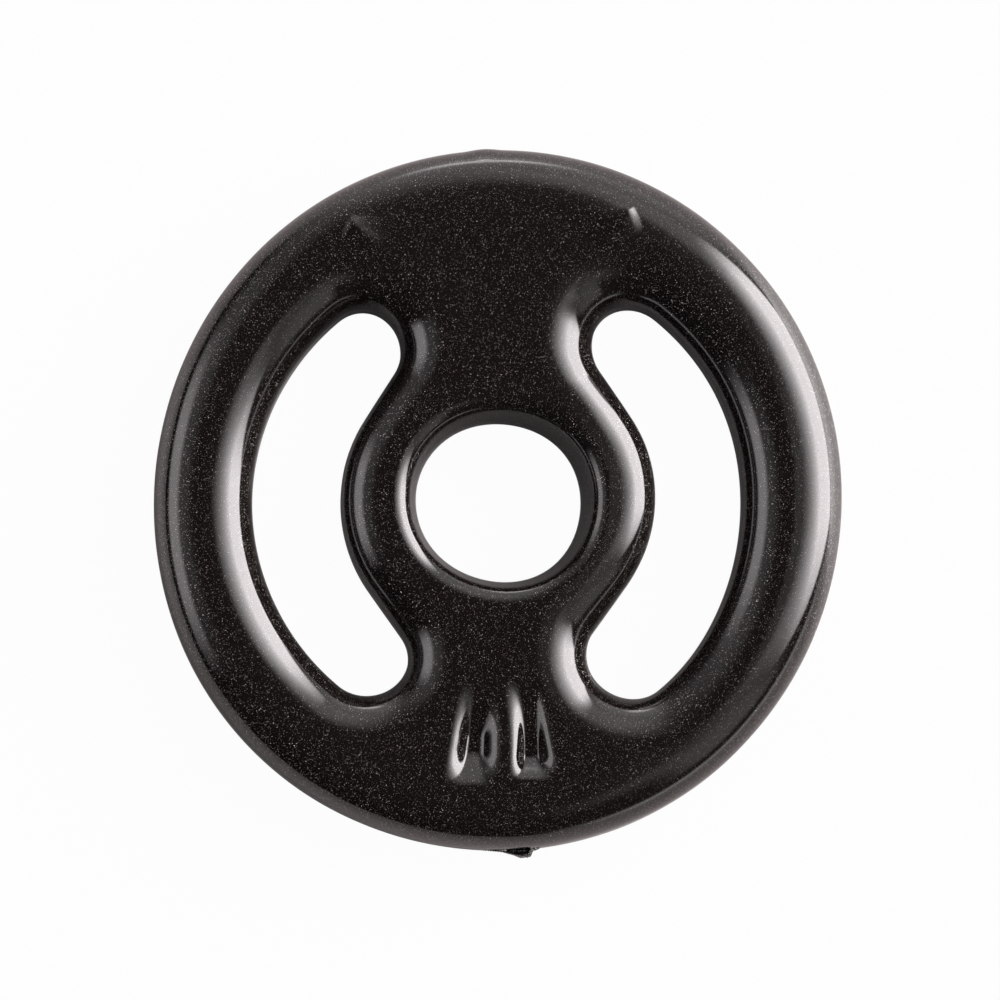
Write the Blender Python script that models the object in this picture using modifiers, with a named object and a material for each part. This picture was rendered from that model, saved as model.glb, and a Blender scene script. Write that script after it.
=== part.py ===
"""Weight plate with two hand openings: an iron casting dipped in thick, soft vinyl.

The plate lies on its back with the bore along Z.  The origin is the middle of the back
face, +Z points out of the front face, and +Y points to the spot on the rim from which the
casting hung while it was dipped.  All lengths are in metres.
"""
import math

import bmesh
import bpy
from mathutils import Matrix, Vector

# Driving dimensions of the coated plate
THICKNESS = 0.035
RIM_RADIUS = 0.10625
RIM_RUN = 0.0018            # the coat ran this much thicker at the top and bottom of the rim
BORE_DIAMETER = 0.0515
EDGE_RADIUS = 0.0125        # rounding of the rim and of the hand openings
BORE_EDGE_RADIUS = 0.0055
BORE_FLARE = 0.0021         # how far a mouth of the bore spreads before it is rounded
BORE_FLARE_DEPTH = 0.0080

# The hand openings lie between the ring that is gripped and the hub round the bore.  Their
# ends are set by the angle from +X or -X to the middle of the end's round
RING_WIDTH = 0.03085
HUB_WALL = 0.02225
END_TAPER = 0.0026          # how much narrower an end is than the middle of the opening
TOP_END_ANGLE = math.radians(48.2)
BOTTOM_END_ANGLE = math.radians(50.4)

# The coat and what it hides
COAT_THICKNESS = 0.003
CASTING_GAP = 0.0003

# The spot where the dipping hook held the casting, closed with a dab of vinyl
HOOK_OFFSET = -0.0041       # along X from the top of the rim
HOOK_HOLE_DIAMETER = 0.005
DAB_SEAT_DIAMETER = 0.0124
DAB_SEAT_DEPTH = 0.0012
DAB_HEIGHT = 0.0008         # how far the dab stands out of the rim
DAB_GAP = 0.0003            # between the dab and its seat and hole

# Two soft pockets in the front of the lower web, fanned about the bore axis
POCKET_ANGLE = math.radians(6.3)
POCKET_FROM_RIM = 0.0172    # from the rim to the wide end of each pocket
POCKET_LENGTH = 0.0305
POCKET_TAIL_WIDTH = 0.0122
POCKET_HEAD_WIDTH = 0.0165
POCKET_FLOOR_WIDTH = 0.0022  # at the tail
POCKET_DEPTH = 0.0028
LIP_LIFT = 0.00004          # keeps the lip's first ring clear of the flat face

# Two faint ridges that run from the front of the upper web on to the rim's rounding
RIDGE_FROM_RIM = 0.0115     # from the rim to the middle of each ridge
RIDGE_ANGLE = math.radians(26.5)
RIDGE_LENGTH = 0.0085
RIDGE_WIDTH = 0.0032
RIDGE_HEIGHT = 0.0005

# The trimmed drip under the rim
DRIP_OFFSET = 0.0068
DRIP_LENGTH = 0.0090
DRIP_WIDTH = 0.0048
DRIP_HEIGHT = 0.0024

# How finely the surfaces are cut into flat facets
RIM_STEPS = 96
BORE_STEPS = 56
SKIN_EDGE_STEPS = 4
INNER_EDGE_STEPS = 2
SKIN_SAG = 0.00005          # how far a facet may lie inside its arc, on a hand opening
INNER_SAG = 0.00016
POCKET_STEPS_ROUND = 8
POCKET_STEPS_DOWN = 5
LUMP_STEPS_ROUND = 12
LUMP_STEPS_LONG = 10
DAB_STEPS = 24
CROWN_STEPS = 4


def clear_scene():
    """Empty the file, so that the model stands in it alone."""
    for thing in list(bpy.data.objects):
        bpy.data.objects.remove(thing, do_unlink=True)


def new_collection(name):
    """A collection under the scene."""
    group = bpy.data.collections.new(name)
    bpy.context.scene.collection.children.link(group)
    return group


def make_material(name, colour, roughness, metallic):
    """A Principled material of one colour."""
    material = bpy.data.materials.new(name)
    material.use_nodes = True
    shader = material.node_tree.nodes["Principled BSDF"]
    shader.inputs["Base Color"].default_value = (*colour, 1.0)
    shader.inputs["Roughness"].default_value = roughness
    shader.inputs["Metallic"].default_value = metallic
    return material


def arc(centre, radius, start, end, steps):
    """Points of an arc about a centre, with both of its ends."""
    angles = [start + (end - start) * step / steps for step in range(steps + 1)]
    return [(centre[0] + radius * math.cos(a), centre[1] + radius * math.sin(a)) for a in angles]


def arc_steps(radius, angle, sag):
    """How many facets keep an arc's facets within a distance of the arc."""
    return math.ceil(angle / (2.0 * math.acos(1.0 - sag / radius)))


def rim_outline(inset):
    """The outer outline, a circle that is a little taller than wide."""
    width = RIM_RADIUS - inset
    height = width + RIM_RUN
    turns = [2.0 * math.pi * step / RIM_STEPS for step in range(RIM_STEPS)]
    return [(width * math.cos(a), height * math.sin(a)) for a in turns]


def opening_outline(grow, side, sag):
    """A hand opening, grown outward by a distance, on the right (1) or the left (-1).

    It runs along the ring, round one end, down a straight tangent on to the hub, and back
    round the other end.
    """
    ring_radius = RIM_RADIUS - RING_WIDTH
    hub_radius = BORE_DIAMETER / 2.0 + HUB_WALL
    end_radius = (ring_radius - hub_radius - END_TAPER) / 2.0
    end_distance = ring_radius - end_radius
    spread = math.acos((hub_radius + end_radius) / end_distance)
    top, bottom = TOP_END_ANGLE, BOTTOM_END_ANGLE
    top_centre = (end_distance * math.cos(top), end_distance * math.sin(top))
    bottom_centre = (end_distance * math.cos(bottom), -end_distance * math.sin(bottom))
    middle, turn = (0.0, 0.0), math.pi - spread

    ring_steps = arc_steps(ring_radius, top + bottom, sag)
    end_steps = arc_steps(end_radius, turn, sag)
    hub_steps = arc_steps(hub_radius, top + bottom - 2.0 * spread, sag)
    points = arc(middle, ring_radius + grow, -bottom, top, ring_steps)
    points += arc(top_centre, end_radius + grow, top, top + turn, end_steps)[1:]
    points += arc(middle, hub_radius - grow, top - spread, spread - bottom, hub_steps)
    points += arc(bottom_centre, end_radius + grow, -bottom - turn, -bottom, end_steps)[:-1]
    return [(side * x, y) for x, y in points]


def mesh_from_curve(curve_object, group):
    """Turn a filled curve into a closed mesh object of the same name and place."""
    bpy.context.view_layer.update()
    name = curve_object.name
    evaluated = curve_object.evaluated_get(bpy.context.evaluated_depsgraph_get())
    mesh = bpy.data.meshes.new_from_object(evaluated)
    shape = bmesh.new()
    shape.from_mesh(mesh)
    bmesh.ops.remove_doubles(shape, verts=shape.verts, dist=0.00001)
    bmesh.ops.recalc_face_normals(shape, faces=shape.faces)
    shape.to_mesh(mesh)
    shape.free()
    placed = curve_object.matrix_world.copy()
    bpy.data.objects.remove(curve_object, do_unlink=True)
    solid = bpy.data.objects.new(name, mesh)
    solid.matrix_world = placed
    group.objects.link(solid)
    return solid


def boolean(target, tool, operation):
    """Cut a tool out of a target, or join it on."""
    modifier = target.modifiers.new(tool.name, "BOOLEAN")
    modifier.operation = operation
    modifier.solver = "EXACT"
    modifier.object = tool


def turned(name, profile, steps, group):
    """A solid turned about Z from a profile that runs down its outer side."""
    mesh = bpy.data.meshes.new(name)
    edges = [(i, i + 1) for i in range(len(profile) - 1)]
    mesh.from_pydata([(x, 0.0, z) for x, z in profile], edges, [])
    solid = bpy.data.objects.new(name, mesh)
    group.objects.link(solid)
    screw = solid.modifiers.new("turn", "SCREW")
    screw.axis = "Z"
    screw.angle = 2.0 * math.pi
    screw.steps = steps
    screw.render_steps = steps
    screw.use_merge_vertices = True
    screw.merge_threshold = 0.00001
    return solid


def bore_cutter(name, inset, edge_steps, group):
    """The bore with its flared and rounded mouths, as the solid that it takes away."""
    edge = BORE_EDGE_RADIUS - inset
    lean = math.atan(BORE_FLARE / BORE_FLARE_DEPTH)
    wide = BORE_DIAMETER / 2.0 + BORE_FLARE + BORE_EDGE_RADIUS / math.cos(lean)
    rise = THICKNESS / 2.0 - BORE_EDGE_RADIUS
    wall = BORE_DIAMETER / 2.0 + inset
    turn = rise - BORE_FLARE_DEPTH - inset * math.tan(lean / 2.0)
    past = THICKNESS
    quarter = math.pi / 2.0
    upper = arc((wide, rise), edge, quarter, 2.0 * quarter - lean, edge_steps)
    lower = arc((wide, -rise), edge, 2.0 * quarter + lean, 3.0 * quarter, edge_steps)
    middle = [(wall, turn), (wall, -turn)]
    profile = [(0.0, past), (wide, past)] + upper + middle + lower + [(wide, -past), (0.0, -past)]
    cutter = turned(name, profile, BORE_STEPS, group)
    cutter.location.z = THICKNESS / 2.0
    return cutter


def pocket_cutter(name, inset, side, group):
    """A pocket as the solid that it takes away, on the right (1) or the left (-1).

    Two arcs and their tangents make its outline.  The outline shrinks ring by ring as it
    goes down, first over a soft lip and then round a soft foot on to the floor.
    """
    tail, head = POCKET_TAIL_WIDTH / 2.0, POCKET_HEAD_WIDTH / 2.0
    wall = (POCKET_TAIL_WIDTH - POCKET_FLOOR_WIDTH) / 2.0
    head_at = RIM_RADIUS - POCKET_FROM_RIM - head
    tail_at = RIM_RADIUS - POCKET_FROM_RIM - POCKET_LENGTH + tail
    half = math.pi / 2.0 + math.asin((head - tail) / (head_at - tail_at))
    levels = [(0.0, POCKET_DEPTH)]
    for step in range(POCKET_STEPS_DOWN + 1):
        share = step / POCKET_STEPS_DOWN
        levels.append((wall * share, -POCKET_DEPTH * share * share * (3.0 - 2.0 * share)))

    shape = bmesh.new()
    rings = []
    for shrink, height in levels:
        points = arc((head_at, 0.0), head - shrink, -half, half, POCKET_STEPS_ROUND)
        points += arc((tail_at, 0.0), tail - shrink, half, 2.0 * math.pi - half, POCKET_STEPS_ROUND)
        rings.append([shape.verts.new((x, y, height)) for x, y in points])
    for upper, lower in zip(rings, rings[1:]):
        for at in range(len(upper)):
            shape.faces.new((upper[at - 1], upper[at], lower[at], lower[at - 1]))
    shape.faces.new(rings[0])
    shape.faces.new(rings[-1])
    bmesh.ops.recalc_face_normals(shape, faces=shape.faces)
    mesh = bpy.data.meshes.new(f"{name}_pocket")
    shape.to_mesh(mesh)
    shape.free()
    pocket = bpy.data.objects.new(f"{name}_pocket", mesh)
    group.objects.link(pocket)
    outward = (side * math.sin(POCKET_ANGLE), -math.cos(POCKET_ANGLE), 0.0)
    place(pocket, (0.0, 0.0, THICKNESS - inset + LIP_LIFT), outward, (0.0, 0.0, 1.0))
    return pocket


def plate_solid(name, inset, edge_steps, sag, group, cutters):
    """The plate's whole form, set in from the coated surface by a distance.

    A filled outline carries a round bevel along the rim and the hand openings.  The bore is
    cut through it and the pockets are sunk into its front.
    """
    curve = bpy.data.curves.new(name, "CURVE")
    curve.dimensions = "2D"
    curve.fill_mode = "BOTH"
    outlines = [rim_outline(EDGE_RADIUS)]
    outlines += [opening_outline(EDGE_RADIUS, side, sag) for side in (1, -1)]
    for outline in outlines:
        spline = curve.splines.new("POLY")
        spline.points.add(len(outline) - 1)
        spline.use_cyclic_u = True
        for point, (x, y) in zip(spline.points, outline):
            point.co = (x, y, 0.0, 1.0)
    curve.extrude = THICKNESS / 2.0 - EDGE_RADIUS
    curve.bevel_depth = EDGE_RADIUS - inset
    curve.bevel_resolution = edge_steps - 1
    form = bpy.data.objects.new(name, curve)
    group.objects.link(form)
    form.location.z = THICKNESS / 2.0
    solid = mesh_from_curve(form, group)
    boolean(solid, bore_cutter(name + "_bore", inset, edge_steps, cutters), "DIFFERENCE")
    for side in (1, -1):
        boolean(solid, pocket_cutter(name, inset, side, cutters), "DIFFERENCE")
    return solid


def soft_lump(name, length, tail_width, head_width, height, group):
    """A soft drop along X, its narrow tail at -X, as high above its middle as below."""
    shape = bmesh.new()
    bmesh.ops.create_uvsphere(shape, u_segments=LUMP_STEPS_ROUND, v_segments=LUMP_STEPS_LONG, radius=1.0)
    for vertex in shape.verts:
        share = (vertex.co.x + 1.0) / 2.0
        width = tail_width + (head_width - tail_width) * share
        vertex.co = (vertex.co.x * length / 2.0, vertex.co.y * width / 2.0, vertex.co.z * height)
    mesh = bpy.data.meshes.new(name)
    shape.to_mesh(mesh)
    shape.free()
    lump = bpy.data.objects.new(name, mesh)
    group.objects.link(lump)
    return lump


def place(thing, origin, along, up):
    """Put an object at a point with its X along one direction and its Z near another."""
    x_axis = Vector(along).normalized()
    y_axis = Vector(up).cross(x_axis).normalized()
    z_axis = x_axis.cross(y_axis)
    turn = Matrix((x_axis, y_axis, z_axis)).transposed().to_4x4()
    thing.matrix_world = Matrix.Translation(Vector(origin)) @ turn


def front_ridges(group):
    """A faint ridge on each side of the upper web, laid on the slope of the rim's rounding."""
    slope = math.asin(max(EDGE_RADIUS - RIDGE_FROM_RIM, 0.0) / EDGE_RADIUS)
    height = THICKNESS - EDGE_RADIUS * (1.0 - math.cos(slope))
    up = Vector((0.0, 0.0, 1.0))
    size = (RIDGE_LENGTH, RIDGE_WIDTH, RIDGE_WIDTH, RIDGE_HEIGHT)
    ridges = []
    for number, side in enumerate((-1, 1), 1):
        outward = Vector((side * math.sin(RIDGE_ANGLE), math.cos(RIDGE_ANGLE), 0.0))
        rim = 1.0 / math.hypot(outward.x / RIM_RADIUS, outward.y / (RIM_RADIUS + RIM_RUN))
        ridge = soft_lump(f"front_ridge_{number}", *size, group)
        along = outward * math.cos(slope) - up * math.sin(slope)
        place(ridge, outward * (rim - RIDGE_FROM_RIM) + up * height, along, up)
        ridges.append(ridge)
    return ridges


def rim_top(offset):
    """How far above the bore axis the coated rim is at a given X."""
    return (RIM_RADIUS + RIM_RUN) * math.sqrt(1.0 - (offset / RIM_RADIUS) ** 2)


def drip(group):
    """What is left of the drip that was trimmed off the bottom of the rim."""
    lump = soft_lump("drip", DRIP_LENGTH, DRIP_WIDTH / 2.0, DRIP_WIDTH, DRIP_HEIGHT, group)
    rim = (DRIP_OFFSET, -rim_top(DRIP_OFFSET), THICKNESS / 2.0)
    place(lump, rim, (1.0, 0.0, 0.0), (0.0, -1.0, 0.0))
    return lump


def stand_on_hook_spot(thing):
    """Turn an object's Z up out of the rim, with its zero on the rim where the hook held."""
    spot = (HOOK_OFFSET, rim_top(HOOK_OFFSET), THICKNESS / 2.0)
    place(thing, spot, (1.0, 0.0, 0.0), (0.0, 1.0, 0.0))


def hook_dab(parts):
    """The dab of vinyl that closes the hook's hole, with a low crown, a head and a stem.

    The stem stops short of the casting.
    """
    head = DAB_SEAT_DIAMETER / 2.0 - DAB_GAP
    stem = HOOK_HOLE_DIAMETER / 2.0 - DAB_GAP
    shoulder = -DAB_SEAT_DEPTH + DAB_GAP
    foot = -COAT_THICKNESS + DAB_GAP
    turns = [math.pi / 2.0 * step / CROWN_STEPS for step in range(CROWN_STEPS, -1, -1)]
    crown = [(head * math.cos(a), DAB_HEIGHT * math.sin(a)) for a in turns]
    profile = crown + [(head, shoulder), (stem, shoulder), (stem, foot), (0.0, foot)]
    dab = turned("hook_dab", profile, DAB_STEPS, parts)
    stand_on_hook_spot(dab)
    return dab


def hook_cutter(cutters):
    """The seat of the dab and the hole under it, down into the space of the casting."""
    seat, hole = DAB_SEAT_DIAMETER / 2.0, HOOK_HOLE_DIAMETER / 2.0
    above, shoulder = DAB_SEAT_DIAMETER, -DAB_SEAT_DEPTH
    below = -COAT_THICKNESS - CASTING_GAP / 2.0
    profile = [(0.0, above), (seat, above), (seat, shoulder), (hole, shoulder), (hole, below), (0.0, below)]
    cutter = turned("hook_hole", profile, DAB_STEPS, cutters)
    stand_on_hook_spot(cutter)
    return cutter


def finish(solid, material):
    """Give a part its material and smooth shading with crisp edges kept."""
    solid.data.materials.clear()
    solid.data.materials.append(material)
    solid.data.shade_smooth()
    solid.data.set_sharp_from_angle(angle=math.radians(40.0))


def build():
    """Model the casting, the coat round it and the dab that closes the coat."""
    clear_scene()
    parts = new_collection("weight_plate")
    cutters = new_collection("cutters")
    vinyl = make_material("vinyl_black_flecked", (0.012, 0.011, 0.011), 0.25, 0.0)
    iron = make_material("cast_iron", (0.09, 0.09, 0.095), 0.6, 0.9)

    casting_inset = COAT_THICKNESS + CASTING_GAP
    casting = plate_solid("iron_casting", casting_inset, INNER_EDGE_STEPS, INNER_SAG, parts, cutters)

    coat = plate_solid("vinyl_coat", 0.0, SKIN_EDGE_STEPS, SKIN_SAG, parts, cutters)
    for lump in front_ridges(cutters) + [drip(cutters)]:
        boolean(coat, lump, "UNION")
    space = plate_solid("casting_space", COAT_THICKNESS, INNER_EDGE_STEPS, INNER_SAG, cutters, cutters)
    boolean(coat, space, "DIFFERENCE")
    boolean(coat, hook_cutter(cutters), "DIFFERENCE")
    dab = hook_dab(parts)

    finish(casting, iron)
    finish(coat, vinyl)
    finish(dab, vinyl)
    for cutter in cutters.objects:
        cutter.hide_render = True
        cutter.display_type = "WIRE"


build()
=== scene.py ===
"""A rubber coated weight plate with two hand openings, seen from above on a pale floor.

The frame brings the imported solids.  The soft vinyl skin is made here: a fine mesh is drawn
on to a formula for the dipped surface, so its shape has no facets.  The formula and the
points that go with it are in millimetres, and all else is in metres.
"""
import math

import bmesh
import bpy
import numpy as np
from mathutils import Matrix, Vector


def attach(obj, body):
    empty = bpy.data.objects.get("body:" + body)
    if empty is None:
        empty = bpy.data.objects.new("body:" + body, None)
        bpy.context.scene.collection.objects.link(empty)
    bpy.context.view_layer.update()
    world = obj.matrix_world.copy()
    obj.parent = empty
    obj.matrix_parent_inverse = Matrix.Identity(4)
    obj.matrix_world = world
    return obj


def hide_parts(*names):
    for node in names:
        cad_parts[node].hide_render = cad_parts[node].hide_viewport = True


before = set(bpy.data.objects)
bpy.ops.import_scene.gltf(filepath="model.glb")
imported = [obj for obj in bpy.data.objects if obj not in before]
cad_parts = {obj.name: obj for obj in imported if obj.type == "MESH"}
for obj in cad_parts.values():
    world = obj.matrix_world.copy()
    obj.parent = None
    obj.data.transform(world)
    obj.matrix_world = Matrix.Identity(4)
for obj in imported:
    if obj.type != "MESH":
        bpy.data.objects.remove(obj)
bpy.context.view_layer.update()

# The coated plate, in millimetres, as the solids have it
HALF_THICKNESS = 17.5
RIM_X = 106.25
RIM_Y = 108.05
EDGE_RADIUS = 12.5
BORE_RADIUS = 25.75
BORE_EDGE_RADIUS = 5.5
BORE_FLARE = 2.1
BORE_FLARE_DEPTH = 8.0
BORE_BLEND = 0.6             # how softly the flare meets the waist
BORE_SHIFT = (0.15, -0.5)    # the cored hole lies a little off the middle
MOUTH_SHIFT = (0.75, -0.45)  # and so does its front mouth
RING_SIDE = 75.4
HUB_SIDE = 48.0
END_RADIUS = 12.4
TOP_END_ANGLE = math.radians(48.2)
BOTTOM_END_ANGLE = math.radians(50.4)

# The hand made unevenness of the outlines.  The rim and the bore have a cosine and a sine
# part for each count of swells round them.  Nearer to the middle than named it fades.
RIM_SWELLS = {
    1: (-0.19, 0.31), 2: (-0.15, 0.51), 3: (-0.02, -0.16), 4: (-0.11, 0.11), 5: (0.05, 0.03),
}
BORE_SWELLS = {0: (-0.65, 0.0), 2: (0.48, -0.28), 3: (-0.17, 0.09), 4: (-0.13, 0.11)}
RIM_SWELLS_FROM, BORE_SWELLS_FROM = 80.0, 20.0

# Each opening is pushed a little to the side and up by an amount that changes over it.  The
# amounts go with powers of the place in the opening, as pushed lists them.
RIGHT_PUSH = (
    (0.03, 0.47, -0.08, 0.57, -0.12, -1.12, 1.16),
    (-0.67, -0.4, 0.87, -0.78, 0.44, 0.4, -1.36),
)
LEFT_PUSH = (
    (-0.57, 0.23, 0.26, 0.88, 0.63, 0.02, 0.91),
    (0.18, -0.92, 0.32, -0.33, -0.72, 0.0, -0.16),
)
PUSH_MIDDLE, PUSH_HALF_WIDTH, PUSH_HALF_HEIGHT = 60.0, 20.0, 50.0
PUSH_SIDES = (-8.0, 8.0)      # the left opening's push gives way to the right one's
PUSH_FROM_MIDDLE = (0.0, 25.0)
PUSH_FADES = (62.0, 92.0)     # above and below the openings

# The edges are sharper round the hub and softer at the upper necks, by so much
HUB_EDGE, NECK_EDGE = -1.4, 1.0
HUB_EDGE_FADES = (40.0, 26.0)
NECK_EDGE_RISES, NECK_EDGE_FADES = (38.0, 48.0), (70.0, 58.0)
EDGES_FADE = (66.0, 58.0)     # the outer edge keeps its radius

# The faces drop a little towards their outlines
CROWN = 0.20
CROWN_RANGE = (-17.0, -8.0)

# The camera, from the middle of the plate, and how much of the plate's plane it sees, in metres
CAMERA_X = -0.0654
CAMERA_Y = -0.2178
CAMERA_DISTANCE = 2.4063
SEEN_WIDTH = 0.3085
SHIFT_RIGHT = 0.00175
SHIFT_UP = 0.0015


# Surface of the dipped plate

def smooth(value):
    """Zero up to 0, one from 1 on, and a soft step between."""
    value = np.clip(value, 0.0, 1.0)
    return value * value * (3.0 - 2.0 * value)


def ramp(value, start, end):
    """Zero before the start, one after the end, and a soft step between."""
    return smooth((value - start) / (end - start))


def swelling(swells, x, y):
    """How far an outline stands out at the turn of a point round the middle."""
    turn = np.arctan2(y, x)
    total = np.zeros_like(turn)
    for count, (even, odd) in swells.items():
        total += even * np.cos(count * turn) + odd * np.sin(count * turn)
    return total


def pushed(x, y):
    """The point of the regular plan that a point of the uneven plan comes from."""
    u = np.clip((np.abs(x) - PUSH_MIDDLE) / PUSH_HALF_WIDTH, -1.6, 1.2)
    v = np.clip(y / PUSH_HALF_HEIGHT, -1.5, 1.5)
    terms = np.stack([np.ones_like(u), u, v, u * v, v * v, u * v * v, v ** 3])
    on_right = ramp(x, *PUSH_SIDES)
    by_right, by_left = np.tensordot(RIGHT_PUSH, terms, 1), np.tensordot(LEFT_PUSH, terms, 1)
    near = 1.0 - ramp(np.abs(y), *PUSH_FADES)
    across = (on_right * by_right[0] - (1.0 - on_right) * by_left[0]) * near
    up = (on_right * by_right[1] + (1.0 - on_right) * by_left[1]) * near
    return x + across * ramp(np.abs(x), *PUSH_FROM_MIDDLE), y + up


def opening_depth(x, y):
    """How deep a point of the plan lies in a hand opening, below zero on the plate."""
    x, y = pushed(x, y)
    x, up = np.abs(x), np.abs(y)
    turn = np.where(y > 0.0, TOP_END_ANGLE, BOTTOM_END_ANGLE)
    reach = RING_SIDE - END_RADIUS
    lean = turn - math.acos((HUB_SIDE + END_RADIUS) / reach)
    normal_x, normal_y = np.cos(lean), np.sin(lean)
    from_x, from_y = x - reach * np.cos(turn), up - reach * np.sin(turn)
    radius = np.hypot(x, up)
    along = up * normal_x - x * normal_y
    hub = np.where(along < 0.0, radius, x * normal_x + up * normal_y) - HUB_SIDE
    sides = np.minimum(hub, RING_SIDE - radius)
    past_end = (np.cos(turn) * from_y - np.sin(turn) * from_x >= 0.0)
    past_end &= (normal_x * from_y - normal_y * from_x >= 0.0)
    return np.where(past_end, END_RADIUS - np.hypot(from_x, from_y), sides)


def rounded(plan, height, half, radius):
    """Distance from a slab with rounded edges, given the distance from its plan outline."""
    out = np.hypot(np.maximum(plan + radius, 0.0), np.maximum(np.abs(height) - half + radius, 0.0))
    return out - radius


def bore_distance(x, y, height):
    """Distance from a slab round its flared and rounded bore."""
    lean = math.atan(BORE_FLARE / BORE_FLARE_DEPTH)
    middle = HALF_THICKNESS - BORE_EDGE_RADIUS
    out = np.hypot(x - BORE_SHIFT[0], y - BORE_SHIFT[1])
    swell = swelling(BORE_SWELLS, x - BORE_SHIFT[0], y - BORE_SHIFT[1])
    swell = swell * ramp(out, 0.0, BORE_SWELLS_FROM)
    wall = BORE_RADIUS + swell - out
    front = height > 0.0
    out = np.hypot(x - MOUTH_SHIFT[0] * front, y - MOUTH_SHIFT[1] * front) - swell
    rise = np.abs(height) - middle
    cone = (BORE_RADIUS + BORE_FLARE - out) * math.cos(lean) + rise * math.sin(lean)
    blend = np.maximum(BORE_BLEND - np.abs(wall - cone), 0.0) ** 2 / (4.0 * BORE_BLEND)
    wall = np.maximum(wall, cone) + blend
    from_middle = out - BORE_RADIUS - BORE_FLARE - BORE_EDGE_RADIUS / math.cos(lean)
    in_edge = (from_middle <= 0.0) & (from_middle * math.sin(lean) + rise * math.cos(lean) >= 0.0)
    edge = np.hypot(from_middle, rise) - BORE_EDGE_RADIUS
    return np.where(in_edge, edge, np.maximum(wall, rise - BORE_EDGE_RADIUS))


def plate_distance(x, y, z):
    """Distance from the plain plate's surface."""
    height = z - HALF_THICKNESS
    radius = np.hypot(x, y)
    rim = radius - radius / np.maximum(np.hypot(x / RIM_X, y / RIM_Y), 1e-9)
    rim -= swelling(RIM_SWELLS, x, y) * ramp(radius, 0.0, RIM_SWELLS_FROM)
    plan = np.maximum(rim, opening_depth(x, y))
    half = HALF_THICKNESS - CROWN * ramp(plan, *CROWN_RANGE)
    edge = HUB_EDGE * ramp(np.abs(y), *HUB_EDGE_FADES)
    edge += NECK_EDGE * ramp(y, *NECK_EDGE_RISES) * ramp(y, *NECK_EDGE_FADES)
    outer = rounded(plan, height, half, EDGE_RADIUS + edge * ramp(radius, *EDGES_FADE))
    return np.maximum(outer, bore_distance(x, y, height))


class Pocket:
    """A soft pocket in the lower web, seen from the front, in millimetres.

    Each pair of numbers is for its upper and its lower end.  An edge is where a lip begins,
    and a wall is how far in from its lip the floor begins.  The bow moves the left and the
    right edge at half length, the bend shapes their walls, and the rise is how long the upper
    wall is, its shape, and how long the lower wall is.
    """

    def __init__(self, ends, left_edge, right_edge, left_wall, right_wall,
                 bow, bend, rise, depth):
        self.ends, self.left_edge, self.right_edge = ends, left_edge, right_edge
        self.left_wall, self.right_wall = left_wall, right_wall
        self.bow, self.bend, self.rise, self.depth = bow, bend, rise, depth

    def depth_at(self, x, y):
        """How deep the pocket is at a point of the front face."""
        share = (y - self.ends[0]) / (self.ends[1] - self.ends[0])
        down = np.clip(share, 0.0, 1.0)
        belly = 4.0 * down * (1.0 - down)

        def between(pair):
            return pair[0] + (pair[1] - pair[0]) * down

        def bent(part, power):
            return smooth(np.clip(part, 0.0, 1.0) ** power)

        left = (x - between(self.left_edge) - self.bow[0] * belly) / between(self.left_wall)
        right = (between(self.right_edge) + self.bow[1] * belly - x) / between(self.right_wall)
        upper, power, lower = self.rise
        across = bent(left, self.bend[0]) * bent(right, self.bend[1])
        along = bent(share / upper, power) * smooth((1.0 - share) / lower)
        return between(self.depth) * across * along


POCKETS = (
    Pocket(ends=(-52.8, -89.0), left_edge=(-13.0, -18.8), right_edge=(1.2, 1.0),
           left_wall=(5.7, 7.4), right_wall=(6.7, 7.8),
           bow=(0.6, 0.0), bend=(1.6, 1.25), rise=(0.58, 1.7, 0.32), depth=(3.4, 4.5)),
    Pocket(ends=(-56.1, -87.1), left_edge=(-1.1, 1.9), right_edge=(12.9, 19.9),
           left_wall=(6.5, 5.2), right_wall=(2.3, 8.4),
           bow=(1.6, -0.2), bend=(1.8, 1.3), rise=(0.92, 0.64, 0.27), depth=(2.4, 5.1)),
)

# Two low steps at the upper corners of the web, each as its place, the way it faces in degrees
# from +X, its half length, how wide its slope is and how high.  They fall away behind, run out
# at their lower ends, and their upper ends are soft, the more so the further behind.
STEPS = ((40.1, 85.8, 21.0, 4.0, 3.2, 0.55), (-46.1, 82.4, 158.0, 3.6, 2.0, 0.57))
STEP_BACK = 16.0
STEP_RUN_OUT = 2.0
STEP_TOP_SOFT, STEP_TOP_SOFTER = 2.5, 1.4
RELIEF_HEIGHTS = (20.0, 26.0)  # the relief is of the front half alone


def front_relief(x, y, z):
    """How far the front face stands out of its plane."""
    relief = np.zeros_like(x)
    for pocket in POCKETS:
        relief -= pocket.depth_at(x, y)
    for at_x, at_y, faces, half, width, height in STEPS:
        turn = math.radians(faces)
        out = (x - at_x) * math.cos(turn) + (y - at_y) * math.sin(turn)
        up = (y - at_y) * math.cos(turn) - (x - at_x) * math.sin(turn)
        up *= math.copysign(1.0, math.cos(turn))
        top_soft = STEP_TOP_SOFT + STEP_TOP_SOFTER * np.maximum(-out, 0.0)
        ends = ramp(up, -half - STEP_RUN_OUT, half - STEP_RUN_OUT)
        ends *= smooth(0.5 + (half - up) / top_soft)
        relief += height * ramp(out, -STEP_BACK, 0.0) * ramp(out, width, 0.0) * ends
    return relief * ramp(z, *RELIEF_HEIGHTS)


# The spot that the casting hung from, along X and up, and the swelling of the rim by it
HOOK = (-4.1, 17.5)
SWELL = 0.46
SWELL_AT = (-4.6, 25.5)
SWELL_RADIUS = 6.8
SWELL_FROM = 60.0  # along Y, so that the rim's lower end has none


def hook_swell(x, y, z):
    """A soft swelling of the rim in front of the dab."""
    away = np.hypot(x - SWELL_AT[0], z - SWELL_AT[1]) / SWELL_RADIUS
    return SWELL * np.maximum(1.0 - away ** 2, 0.0) ** 2 * (y > SWELL_FROM)


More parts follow.
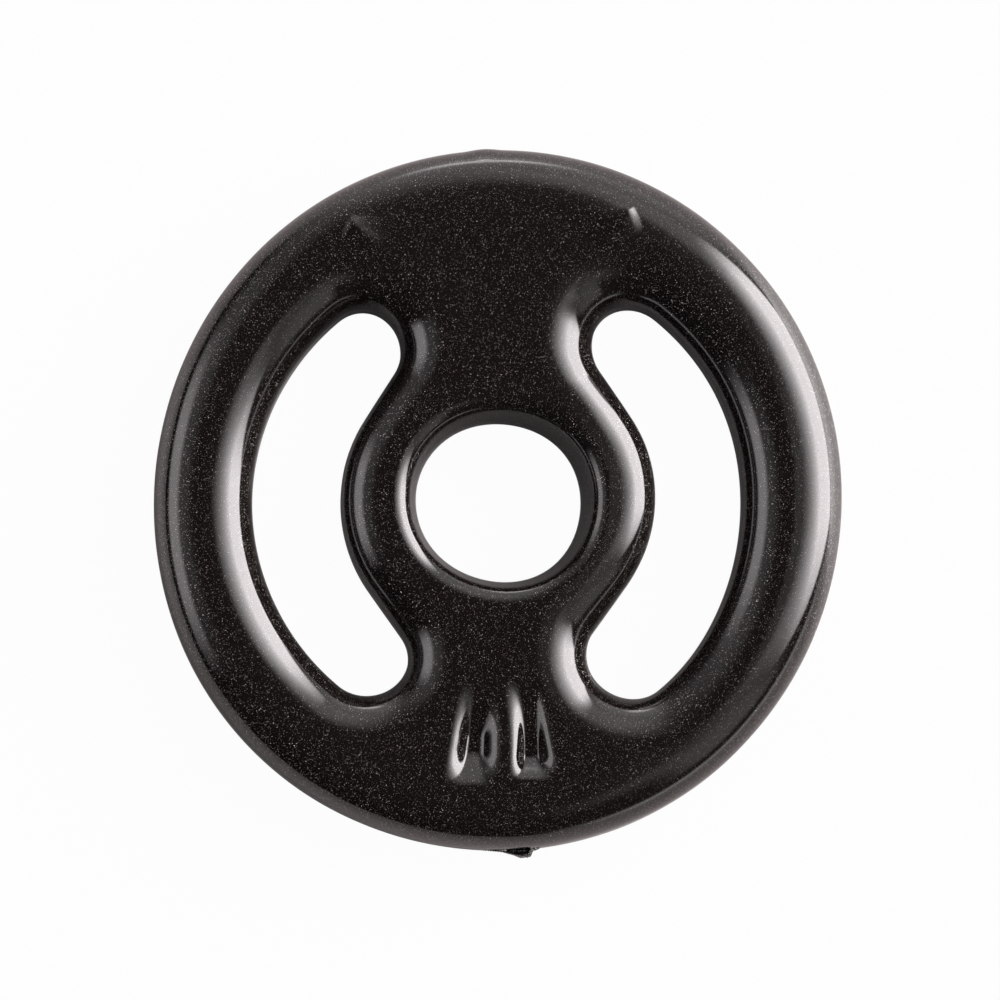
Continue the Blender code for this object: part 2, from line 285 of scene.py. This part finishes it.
# Faint waves of the whole skin, which are cut into the plain surface
WAVE_HEIGHT = 0.05
WAVE_COUNT = 14
WAVES = np.random.default_rng(11)
WAVE_TURNS = WAVES.normal(size=(WAVE_COUNT, 3))
WAVE_TURNS /= np.linalg.norm(WAVE_TURNS, axis=1)[:, None]
WAVE_LENGTHS = WAVES.uniform(22.0, 60.0, WAVE_COUNT)
WAVE_STARTS = WAVES.uniform(0.0, 2.0 * math.pi, WAVE_COUNT)


def surface(points):
    """The dipped surface, zero on it and rising outward."""
    x, y, z = points.T
    field = plate_distance(x, y, z) - front_relief(x, y, z) - hook_swell(x, y, z)
    waves = np.zeros(len(points))
    for turn, length, start in zip(WAVE_TURNS, WAVE_LENGTHS, WAVE_STARTS):
        waves += np.sin(points @ turn * (2.0 * math.pi / length) + start)
    return field + WAVE_HEIGHT * (1.0 + waves / WAVE_COUNT * 2.0)


def slope(points, step=0.02):
    """The gradient of the surface's formula, from points a small step to each side."""
    parts = []
    for axis in range(3):
        offset = np.zeros(3)
        offset[axis] = step
        parts.append((surface(points + offset) - surface(points - offset)) / (2.0 * step))
    return np.stack(parts, axis=1)


# How a grain is drawn on to the surface
ROUNDS = 6
LONGEST_MOVE = 2.0
FLATTEST = 0.05  # keeps a move short where the formula has a crease


def drawn_on(points):
    """The points, moved on to the surface."""
    for _ in range(ROUNDS):
        field, steep = surface(points), slope(points)
        size = np.maximum((steep ** 2).sum(axis=1), FLATTEST)
        move = np.clip(field / size, -LONGEST_MOVE, LONGEST_MOVE)
        points = points - move[:, None] * steep
    return points


def mesh_points(mesh):
    """A mesh's vertices in millimetres."""
    points = np.empty(len(mesh.vertices) * 3)
    mesh.vertices.foreach_get("co", points)
    return points.reshape(-1, 3) * 1000.0


def set_mesh_points(mesh, points):
    """Move a mesh's vertices to points in millimetres."""
    mesh.vertices.foreach_set("co", (points / 1000.0).ravel())
    mesh.update()


def remeshed(mesh, voxel):
    """A copy of a closed mesh with an even grain."""
    thing = bpy.data.objects.new("even", mesh)
    bpy.context.collection.objects.link(thing)
    even = thing.modifiers.new("even", "REMESH")
    even.mode = "VOXEL"
    even.voxel_size = voxel
    bpy.context.view_layer.update()
    depsgraph = bpy.context.evaluated_depsgraph_get()
    copy = bpy.data.meshes.new_from_object(thing.evaluated_get(depsgraph))
    bpy.data.objects.remove(thing, do_unlink=True)
    return copy


# The grain of the skin, coarse and then fine, in metres
GRAINS = (0.0018, 0.0011)

# Where the grain is made finer, as two corners of a box, and into how many parts: the pockets,
# the top of the rim and the two steps
FINE_ZONES = (
    ((-21.0, -92.0, 27.0), (22.0, -51.0, 40.0), 4),
    ((-14.0, 100.0, 16.0), (6.0, 110.0, 35.0), 2),
    ((-56.0, 76.0, 25.0), (-34.0, 97.0, 40.0), 2),
    ((34.0, 76.0, 25.0), (54.0, 97.0, 40.0), 2),
)


def make_finer(mesh, zone):
    """Cut the faces of a zone into smaller ones."""
    low, high, parts = zone
    shape = bmesh.new()
    shape.from_mesh(mesh)
    low, high = Vector(low) / 1000.0, Vector(high) / 1000.0
    edges = {}  # used as a set that keeps its order
    for face in shape.faces:
        middle = face.calc_center_median()
        if all(low[i] < middle[i] < high[i] for i in range(3)):
            edges.update(dict.fromkeys(face.edges))
    bmesh.ops.subdivide_edges(shape, edges=list(edges), cuts=parts - 1, use_grid_fill=True)
    shape.to_mesh(mesh)
    shape.free()


# What is left of the trimmed drip: rows of balls along a thin fin, its torn end and a web behind
# it, each as its two ends and the radius at each.  They are drawn out along the thickness.
DRIP_BALLS = (
    ((-4.5, -107.35, 16.6), (1.6, -107.95, 17.2), 0.30, 0.36),
    ((1.6, -107.95, 17.2), (4.5, -108.7, 17.6), 0.36, 0.50),
    ((4.5, -108.7, 17.6), (7.0, -109.15, 17.5), 0.50, 0.88),
    ((7.0, -109.15, 17.5), (9.3, -108.75, 17.4), 0.88, 0.95),
    ((9.3, -108.75, 17.4), (9.8, -107.5, 17.3), 0.95, 0.90),
    ((3.0, -107.7, 17.0), (9.0, -107.7, 17.0), 0.50, 0.90),
    ((9.8, -107.3, 17.2), (12.6, -106.85, 16.9), 0.80, 0.25),
)
DRIP_STRETCH = 3.4
DRIP_GRAIN = 0.00014
BALLS_IN_ROW = 9
DRIP_TEAR, DRIP_TORN = 0.16, (6.8, 8.4)    # how rough the torn end is and where it begins
DRIP_FOLD, DRIP_FOLDED = 0.05, (2.5, 4.0)  # and the fine folds along the fin


def make_drip():
    """The mesh of the trimmed drip."""
    shape = bmesh.new()
    for start, end, first, last in DRIP_BALLS:
        for step in np.linspace(0.0, 1.0, BALLS_IN_ROW):
            place = Matrix.Translation(Vector(start).lerp(Vector(end), step) / 1000.0)
            size = (first + (last - first) * step) / 1000.0
            bmesh.ops.create_icosphere(shape, subdivisions=2, radius=size, matrix=place)
    mesh = bpy.data.meshes.new("drip")
    shape.to_mesh(mesh)
    shape.free()
    mesh = remeshed(mesh, DRIP_GRAIN)
    points = mesh_points(mesh)
    points[:, 2] = HALF_THICKNESS + (points[:, 2] - HALF_THICKNESS) * DRIP_STRETCH
    set_mesh_points(mesh, points)
    normals = np.array([tuple(vertex.normal) for vertex in mesh.vertices])
    x, y, z = points.T
    torn = np.sin(x * 5.1 + z * 3.3) * np.sin(y * 6.3 - z * 2.1)
    torn += 0.5 * np.sin(x * 11.0 + y * 9.0 - z * 7.0)
    torn *= DRIP_TEAR * ramp(x, *DRIP_TORN)
    folds = DRIP_FOLD * np.sin((y + 0.18 * x) * 9.0) * ramp(x, *DRIP_FOLDED)
    set_mesh_points(mesh, points + normals * (torn + folds)[:, None])
    return mesh


def make_skin():
    """The vinyl skin, drawn on to the formula from a grain grown round the casting."""
    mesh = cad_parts["iron_casting"].data.copy()
    for grain in GRAINS:
        mesh = remeshed(mesh, grain)
        set_mesh_points(mesh, drawn_on(mesh_points(mesh)))
    for zone in FINE_ZONES:
        make_finer(mesh, zone)
    set_mesh_points(mesh, drawn_on(mesh_points(mesh)))
    normals = slope(mesh_points(mesh))
    normals /= np.linalg.norm(normals, axis=1)[:, None]
    drip = make_drip()
    normals = np.concatenate([normals, [tuple(vertex.normal) for vertex in drip.vertices]])
    both = bmesh.new()
    both.from_mesh(mesh)
    both.from_mesh(drip)
    both.to_mesh(mesh)
    both.free()
    mesh.shade_smooth()
    mesh.normals_split_custom_set_from_vertices(normals.tolist())
    mesh.materials.clear()
    skin = bpy.data.objects.new("vinyl_skin", mesh)
    bpy.context.scene.collection.objects.link(skin)
    return skin


# The dab: its radius, how far its middle stands out, how far its edge is sunk in the rim and
# how deep its back lies
DAB_RADIUS = 6.4
DAB_CROWN = 0.22
DAB_SUNK = 0.03
DAB_DEEP = 0.7
DAB_RINGS, DAB_SIDES = 15, 64
DAB_ROUNDS = 8


def make_dab():
    """The dab of vinyl over the hook's spot, a soft lens that stands a little out of the rim."""
    spread = np.linspace(1.0, 0.0, DAB_RINGS + 1)[:-1]
    turns = np.linspace(0.0, 2.0 * math.pi, DAB_SIDES, endpoint=False)
    share = np.append(np.repeat(spread, DAB_SIDES), 0.0)
    turn = np.append(np.tile(turns, DAB_RINGS), 0.0)
    points = np.stack([HOOK[0] + DAB_RADIUS * share * np.cos(turn), np.full(len(share), RIM_Y),
                       HOOK[1] + DAB_RADIUS * share * np.sin(turn)], axis=1)
    for _ in range(DAB_ROUNDS):
        points[:, 1] -= surface(points)
    outer, inner = points.copy(), points.copy()
    outer[:, 1] += DAB_CROWN * (1.0 - share ** 2) ** 2 - DAB_SUNK
    inner[:, 1] -= DAB_DEEP
    last = len(points) - 1
    faces = []
    for base, flip in ((0, 1), (len(points), -1)):
        for ring in range(DAB_RINGS):
            for side in range(DAB_SIDES):
                a, b = ring * DAB_SIDES + side, ring * DAB_SIDES + (side + 1) % DAB_SIDES
                face = (a, b, last)
                if ring + 1 < DAB_RINGS:
                    face = (a, b, b + DAB_SIDES, a + DAB_SIDES)
                faces.append(tuple(base + at for at in face[::flip]))
    for side in range(DAB_SIDES):
        a, b = side, (side + 1) % DAB_SIDES
        faces.append((b, a, a + len(points), b + len(points)))
    mesh = bpy.data.meshes.new("hook_dab_skin")
    mesh.from_pydata((np.concatenate([outer, inner]) / 1000.0).tolist(), [], faces)
    shape = bmesh.new()
    shape.from_mesh(mesh)
    bmesh.ops.recalc_face_normals(shape, faces=shape.faces)
    shape.to_mesh(mesh)
    shape.free()
    mesh.shade_smooth()
    mesh.set_sharp_from_angle(angle=math.radians(60.0))
    dab = bpy.data.objects.new("hook_dab_skin", mesh)
    bpy.context.scene.collection.objects.link(dab)
    return dab


# Materials

# Flakes of two sizes, in metres, and the share of their places that holds one
FINE_FLAKE = 0.00023
FINE_SHARE = 0.26
LARGE_FLAKE = 0.00039
LARGE_SHARE = 0.08
FLAKE_EDGE = (0.24, 0.38)  # how far out a flake is whole and how far it fades, in its place
FLAKE_TILT = 1.4
FLAKE_ROUGHNESS = 0.28
FLAKE_DULL = (0.12, 0.112, 0.107, 1.0)
FLAKE_BRIGHT = (1.0, 0.94, 0.9, 1.0)
DULL_OFTEN = 1.5  # more than 1 makes more flakes dull than bright
VINYL_BLACK = (0.0069, 0.0050, 0.0044, 1.0)
COAT_IOR = 1.84
COAT_ROUGHNESS = 0.07
PEEL_SCALE, PEEL_HEIGHT = 260.0, 0.00001


class Tree:
    """A node tree that is filled by short calls."""

    def __init__(self, tree):
        self.tree = tree
        tree.nodes.clear()

    def node(self, kind, links=(), **settings):
        """A node; links gives its inputs by name or number as a socket or a value."""
        made = self.tree.nodes.new("ShaderNode" + kind)
        for name, value in settings.items():
            setattr(made, name, value)
        for name, value in dict(links).items():
            socket = made.inputs[name]
            if isinstance(value, bpy.types.NodeSocket):
                self.tree.links.new(value, socket)
            else:
                socket.default_value = value
        return made

    def math(self, operation, *values):
        """A number worked out from up to three others."""
        made = self.node("Math", dict(enumerate(values)), operation=operation)
        return made.outputs[0]

    def vector(self, operation, *values):
        """A vector worked out from others."""
        made = self.node("VectorMath", {}, operation=operation)
        for socket, value in zip(made.inputs, values):
            if isinstance(value, bpy.types.NodeSocket):
                self.tree.links.new(value, socket)
            else:
                socket.default_value = value
        return made.outputs[0]

    def fade(self, value, low, high, start=0.0, end=1.0):
        """A smooth change from start at low to end at high."""
        links = {"Value": value, "From Min": low, "From Max": high, "To Min": start, "To Max": end}
        return self.node("MapRange", links, interpolation_type="SMOOTHSTEP").outputs[0]


def new_material(name):
    """An empty node material and its tree."""
    material = bpy.data.materials.new(name)
    material.use_nodes = True
    return material, Tree(material.node_tree)


def vinyl_material():
    """Glossy black vinyl full of fine silver flakes that lie every way under its surface."""
    material, tree = new_material("vinyl_black_flecked")
    place = tree.node("TexCoord").outputs["Object"]
    normal = tree.node("NewGeometry").outputs["Normal"]

    def flakes(size, share):
        """A mask of scattered dots and a number triple for each dot."""
        cells = tree.node("TexVoronoi", {"Vector": place, "Scale": 1.0 / size, "Randomness": 1.0})
        pick = tree.node("TexWhiteNoise", {"Vector": cells.outputs["Position"]},
                         noise_dimensions="3D")
        dot = tree.fade(cells.outputs["Distance"], *FLAKE_EDGE, 1.0, 0.0)
        chosen = tree.math("LESS_THAN", pick.outputs["Value"], share)
        return tree.math("MULTIPLY", dot, chosen), pick.outputs["Color"]

    fine, fine_pick = flakes(FINE_FLAKE, FINE_SHARE)
    large, large_pick = flakes(LARGE_FLAKE, LARGE_SHARE)
    mask = tree.math("MAXIMUM", fine, large)
    pick = tree.node("Mix", {"Factor": large}, data_type="RGBA")
    tree.tree.links.new(fine_pick, pick.inputs[6])
    tree.tree.links.new(large_pick, pick.inputs[7])
    tilt = tree.vector("SUBTRACT", pick.outputs[2], (0.5, 0.5, 0.5))
    spread = tree.vector("MULTIPLY", tilt, (FLAKE_TILT, FLAKE_TILT, FLAKE_TILT))
    flake_normal = tree.vector("NORMALIZE", tree.vector("ADD", normal, spread))

    odds = tree.node("SeparateColor", {0: pick.outputs[2]}).outputs[2]
    hue = tree.node("Mix", {"Factor": tree.math("POWER", odds, DULL_OFTEN)}, data_type="RGBA")
    hue.inputs[6].default_value = FLAKE_DULL
    hue.inputs[7].default_value = FLAKE_BRIGHT
    colour = tree.node("Mix", {"Factor": mask}, data_type="RGBA")
    colour.inputs[6].default_value = VINYL_BLACK
    tree.tree.links.new(hue.outputs[2], colour.inputs[7])

    peel = tree.node("TexNoise", {"Vector": place, "Scale": PEEL_SCALE, "Detail": 2.0,
                                  "Roughness": 0.5})
    bump = tree.node("Bump", {"Height": peel.outputs["Fac"], "Strength": 1.0,
                              "Distance": PEEL_HEIGHT})
    shader = tree.node("BsdfPrincipled", {
        "Base Color": colour.outputs[2], "Metallic": mask, "Roughness": FLAKE_ROUGHNESS,
        "Normal": flake_normal, "Specular IOR Level": 0.0, "Coat Weight": 1.0,
        "Coat Roughness": COAT_ROUGHNESS, "Coat IOR": COAT_IOR, "Coat Normal": bump.outputs[0],
    })
    tree.node("OutputMaterial", {"Surface": shader.outputs[0]})
    return material


def iron_material():
    """Sand cast iron, rough and a little rusty in its grain."""
    material, tree = new_material("cast_iron")
    place = tree.node("TexCoord").outputs["Object"]
    grain = tree.node("TexNoise", {"Vector": place, "Scale": 900.0, "Detail": 6.0,
                                   "Roughness": 0.65})
    blotch = tree.node("TexNoise", {"Vector": place, "Scale": 45.0, "Detail": 3.0})
    rust = tree.fade(blotch.outputs["Fac"], 0.5, 0.75)
    colour = tree.node("Mix", {"Factor": rust}, data_type="RGBA")
    colour.inputs[6].default_value = (0.09, 0.09, 0.095, 1.0)
    colour.inputs[7].default_value = (0.12, 0.07, 0.045, 1.0)
    rough = tree.fade(grain.outputs["Fac"], 0.3, 0.7, 0.5, 0.8)
    bump = tree.node("Bump", {"Height": grain.outputs["Fac"], "Strength": 0.6, "Distance": 0.0003})
    shader = tree.node("BsdfPrincipled", {
        "Base Color": colour.outputs[2], "Metallic": 0.9, "Roughness": rough,
        "Normal": bump.outputs[0],
    })
    tree.node("OutputMaterial", {"Surface": shader.outputs[0]})
    return material


# Floor, light and camera

FLOOR_HALF = 6.0
FLOOR_GAP = 0.0002
FLOOR_COLOUR = (0.60, 0.56, 0.55, 1.0)
CAMERA_WHITE = 0.97   # how much of the floor is plain white to the camera
GLOSSY_WHITE = 0.025  # and to what mirrors it, since the walls of the openings stay dark

# The studio's light in the world, and the little of it that comes from everywhere
LIGHT_LEVEL = 0.50
LIGHT_COLOUR = (1.0, 0.948, 0.957, 1.0)
AMBIENT = 0.04

# The strongest light: its direction round the plate, where beside it the light rises and
# falls, how it fades towards overhead, and the two lower corners that it lacks, each as a
# slope and a start.  Angles are in degrees, and those beside a light grow to its left.
RIGHT_TURN, RIGHT_STRENGTH = 16.5, 16.0
RIGHT_RISES, RIGHT_FALLS = (-44.0, -13.0), (24.0, 40.0)
RIGHT_FADE, RIGHT_FADE_POWER = 52.0, 2.3
NEAR_CORNER, FAR_CORNER = (-1.5, -23.0), (1.4, -27.0)
FOOT_SOFT = (-2.0, 6.0)

# The smaller lights, each as its direction round the plate, how far to each side it is whole
# and how far it then fades, between which heights it rises and falls, and its strength
SMALL_LIGHTS = (
    (175.0, 12.0, 22.0, (8.0, 17.0), (36.0, 50.0), 2.9),
    (160.0, 15.0, 35.0, (5.0, 30.0), (50.0, 85.0), 0.6),
    (82.0, 15.0, 40.0, None, (0.0, 74.0), 1.9),
    (60.0, 15.0, 40.0, (25.0, 45.0), (55.0, 85.0), 0.9),
    (91.0, 4.0, 14.0, None, (4.0, 12.0), 5.0),
    (-38.0, 20.0, 26.0, None, (3.0, 12.0), 2.2),
    (-38.0, 6.0, 14.0, (15.0, 30.0), (45.0, 75.0), 0.8),
)
HAZE = 0.4  # over the right half, high up
HAZE_RISES, HAZE_HEIGHTS = (0.05, 0.25), (45.0, 70.0)


def make_floor():
    """A plain pale floor with a soft gloss, white to the camera but for a faint shadow."""
    mesh = bpy.data.meshes.new("floor")
    shape = bmesh.new()
    bmesh.ops.create_grid(shape, x_segments=1, y_segments=1, size=FLOOR_HALF)
    shape.to_mesh(mesh)
    shape.free()
    floor = bpy.data.objects.new("floor", mesh)
    floor.location.z = -FLOOR_GAP
    bpy.context.scene.collection.objects.link(floor)
    material, tree = new_material("floor_white")
    path = tree.node("LightPath").outputs
    shine = tree.math("MAXIMUM", path["Is Glossy Ray"], path["Is Transmission Ray"])
    share = tree.math("MAXIMUM", tree.math("MULTIPLY", path["Is Camera Ray"], CAMERA_WHITE),
                      tree.math("MULTIPLY", shine, GLOSSY_WHITE))
    own = tree.node("BsdfPrincipled", {
        "Base Color": FLOOR_COLOUR, "Roughness": 0.25, "Specular IOR Level": 1.0,
    })
    white = tree.node("Emission", {"Color": (1.0, 1.0, 1.0, 1.0), "Strength": 1.0})
    mix = tree.node("MixShader", {0: share, 1: own.outputs[0], 2: white.outputs[0]})
    tree.node("OutputMaterial", {"Surface": mix.outputs[0]})
    mesh.materials.append(material)


class Sky(Tree):
    """A world whose light is written by the angle round the plate and the angle over its plane."""

    def __init__(self, tree):
        super().__init__(tree)
        x, y, z = self.node("SeparateXYZ", {0: self.node("TexCoord").outputs["Generated"]}).outputs
        self.x, self.y = x, y
        self.height = self.math("MULTIPLY", self.math("ARCSINE", z), 180.0 / math.pi)

    def beside(self, middle):
        """The angle from a direction in the plan, from -180 to 180 and rising to the left of it."""
        turn = math.radians(middle)
        east = self.math("MULTIPLY", self.x, math.cos(turn))
        ahead = self.math("ADD", east, self.math("MULTIPLY", self.y, math.sin(turn)))
        north = self.math("MULTIPLY", self.y, math.cos(turn))
        across = self.math("SUBTRACT", north, self.math("MULTIPLY", self.x, math.sin(turn)))
        return self.math("MULTIPLY", self.math("ARCTAN2", across, ahead), 180.0 / math.pi)

    def wide(self, angle, half, soft):
        """One near the middle direction, fading to nothing beside it."""
        return self.fade(self.math("ABSOLUTE", angle), half, half + soft, 1.0, 0.0)

    def times(self, *values):
        """A product."""
        product = values[0]
        for value in values[1:]:
            product = self.math("MULTIPLY", product, value)
        return product


def make_light():
    """A studio of soft lights round the plate, as the world's light by direction.

    The strongest stands on the right, reaches up from the floor and fades overhead.  A weak
    one stands on the left, and faint ones past the top and on the near side.
    """
    world = bpy.data.worlds.new("studio")
    bpy.context.scene.world = world
    world.use_nodes = True
    sky = Sky(world.node_tree)
    height = sky.height

    beside = sky.beside(RIGHT_TURN)
    overhead = sky.math("DIVIDE", sky.math("SUBTRACT", 90.0, height), RIGHT_FADE)
    overhead = sky.math("MINIMUM", sky.math("MAXIMUM", overhead, 0.0), 1.0)
    overhead = sky.math("POWER", overhead, RIGHT_FADE_POWER)
    corners = [sky.math("ADD", sky.times(beside, steep), first)
               for steep, first in (NEAR_CORNER, FAR_CORNER)]
    foot = sky.math("MAXIMUM", sky.math("MAXIMUM", *corners), 0.0)
    foot = sky.fade(sky.math("SUBTRACT", height, foot), *FOOT_SOFT)
    across = sky.times(sky.fade(beside, *RIGHT_RISES), sky.fade(beside, *RIGHT_FALLS, 1.0, 0.0))
    total = sky.times(across, overhead, foot, RIGHT_STRENGTH)

    haze = sky.times(sky.fade(sky.x, *HAZE_RISES), sky.fade(height, *HAZE_HEIGHTS), HAZE)
    total = sky.math("ADD", total, haze)
    for turn, half, soft, rises, falls, strength in SMALL_LIGHTS:
        light = sky.wide(sky.beside(turn), half, soft)
        if rises:
            light = sky.times(light, sky.fade(height, *rises))
        light = sky.times(light, sky.fade(height, *falls, 1.0, 0.0), strength)
        total = sky.math("ADD", total, light)
    total = sky.math("MULTIPLY", sky.math("ADD", total, AMBIENT), LIGHT_LEVEL)
    seen = sky.node("LightPath").outputs["Is Camera Ray"]
    lamps = sky.node("Background", {"Color": LIGHT_COLOUR, "Strength": total})
    white = sky.node("Background", {"Color": (1.0, 1.0, 1.0, 1.0), "Strength": 1.0})
    mix = sky.node("MixShader", {0: seen, 1: lamps.outputs[0], 2: white.outputs[0]})
    sky.node("OutputWorld", {"Surface": mix.outputs[0]})


def make_camera():
    """A long lens nearly straight above the plate, a little to its left and below it."""
    middle = Vector((0.0, 0.0, HALF_THICKNESS / 1000.0))
    rise = math.sqrt(CAMERA_DISTANCE ** 2 - CAMERA_X ** 2 - CAMERA_Y ** 2)
    back = Vector((CAMERA_X, CAMERA_Y, rise))
    z_axis = back.normalized()
    x_axis = Vector((0.0, 1.0, 0.0)).cross(z_axis).normalized()
    y_axis = z_axis.cross(x_axis)
    data = bpy.data.cameras.new("camera")
    data.sensor_width = 36.0
    data.lens = data.sensor_width * CAMERA_DISTANCE / SEEN_WIDTH
    data.shift_x = SHIFT_RIGHT
    data.shift_y = SHIFT_UP
    data.clip_start, data.clip_end = 0.1, 20.0
    camera = bpy.data.objects.new("camera", data)
    turned = Matrix((x_axis, y_axis, z_axis)).transposed().to_4x4()
    camera.matrix_world = Matrix.Translation(middle + back) @ turned
    bpy.context.scene.collection.objects.link(camera)
    bpy.context.scene.camera = camera


vinyl = vinyl_material()
skin = make_skin()
dab = make_dab()
for piece, node, slot in ((skin, "vinyl_coat", "coat"), (dab, "hook_dab", "dab")):
    piece.data.materials.append(vinyl)
    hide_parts(node)
    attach(piece, "root")

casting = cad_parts["iron_casting"]
casting.data.materials.clear()
casting.data.materials.append(iron_material())

make_floor()
make_light()
make_camera()
bpy.context.scene.view_settings.view_transform = "Standard"
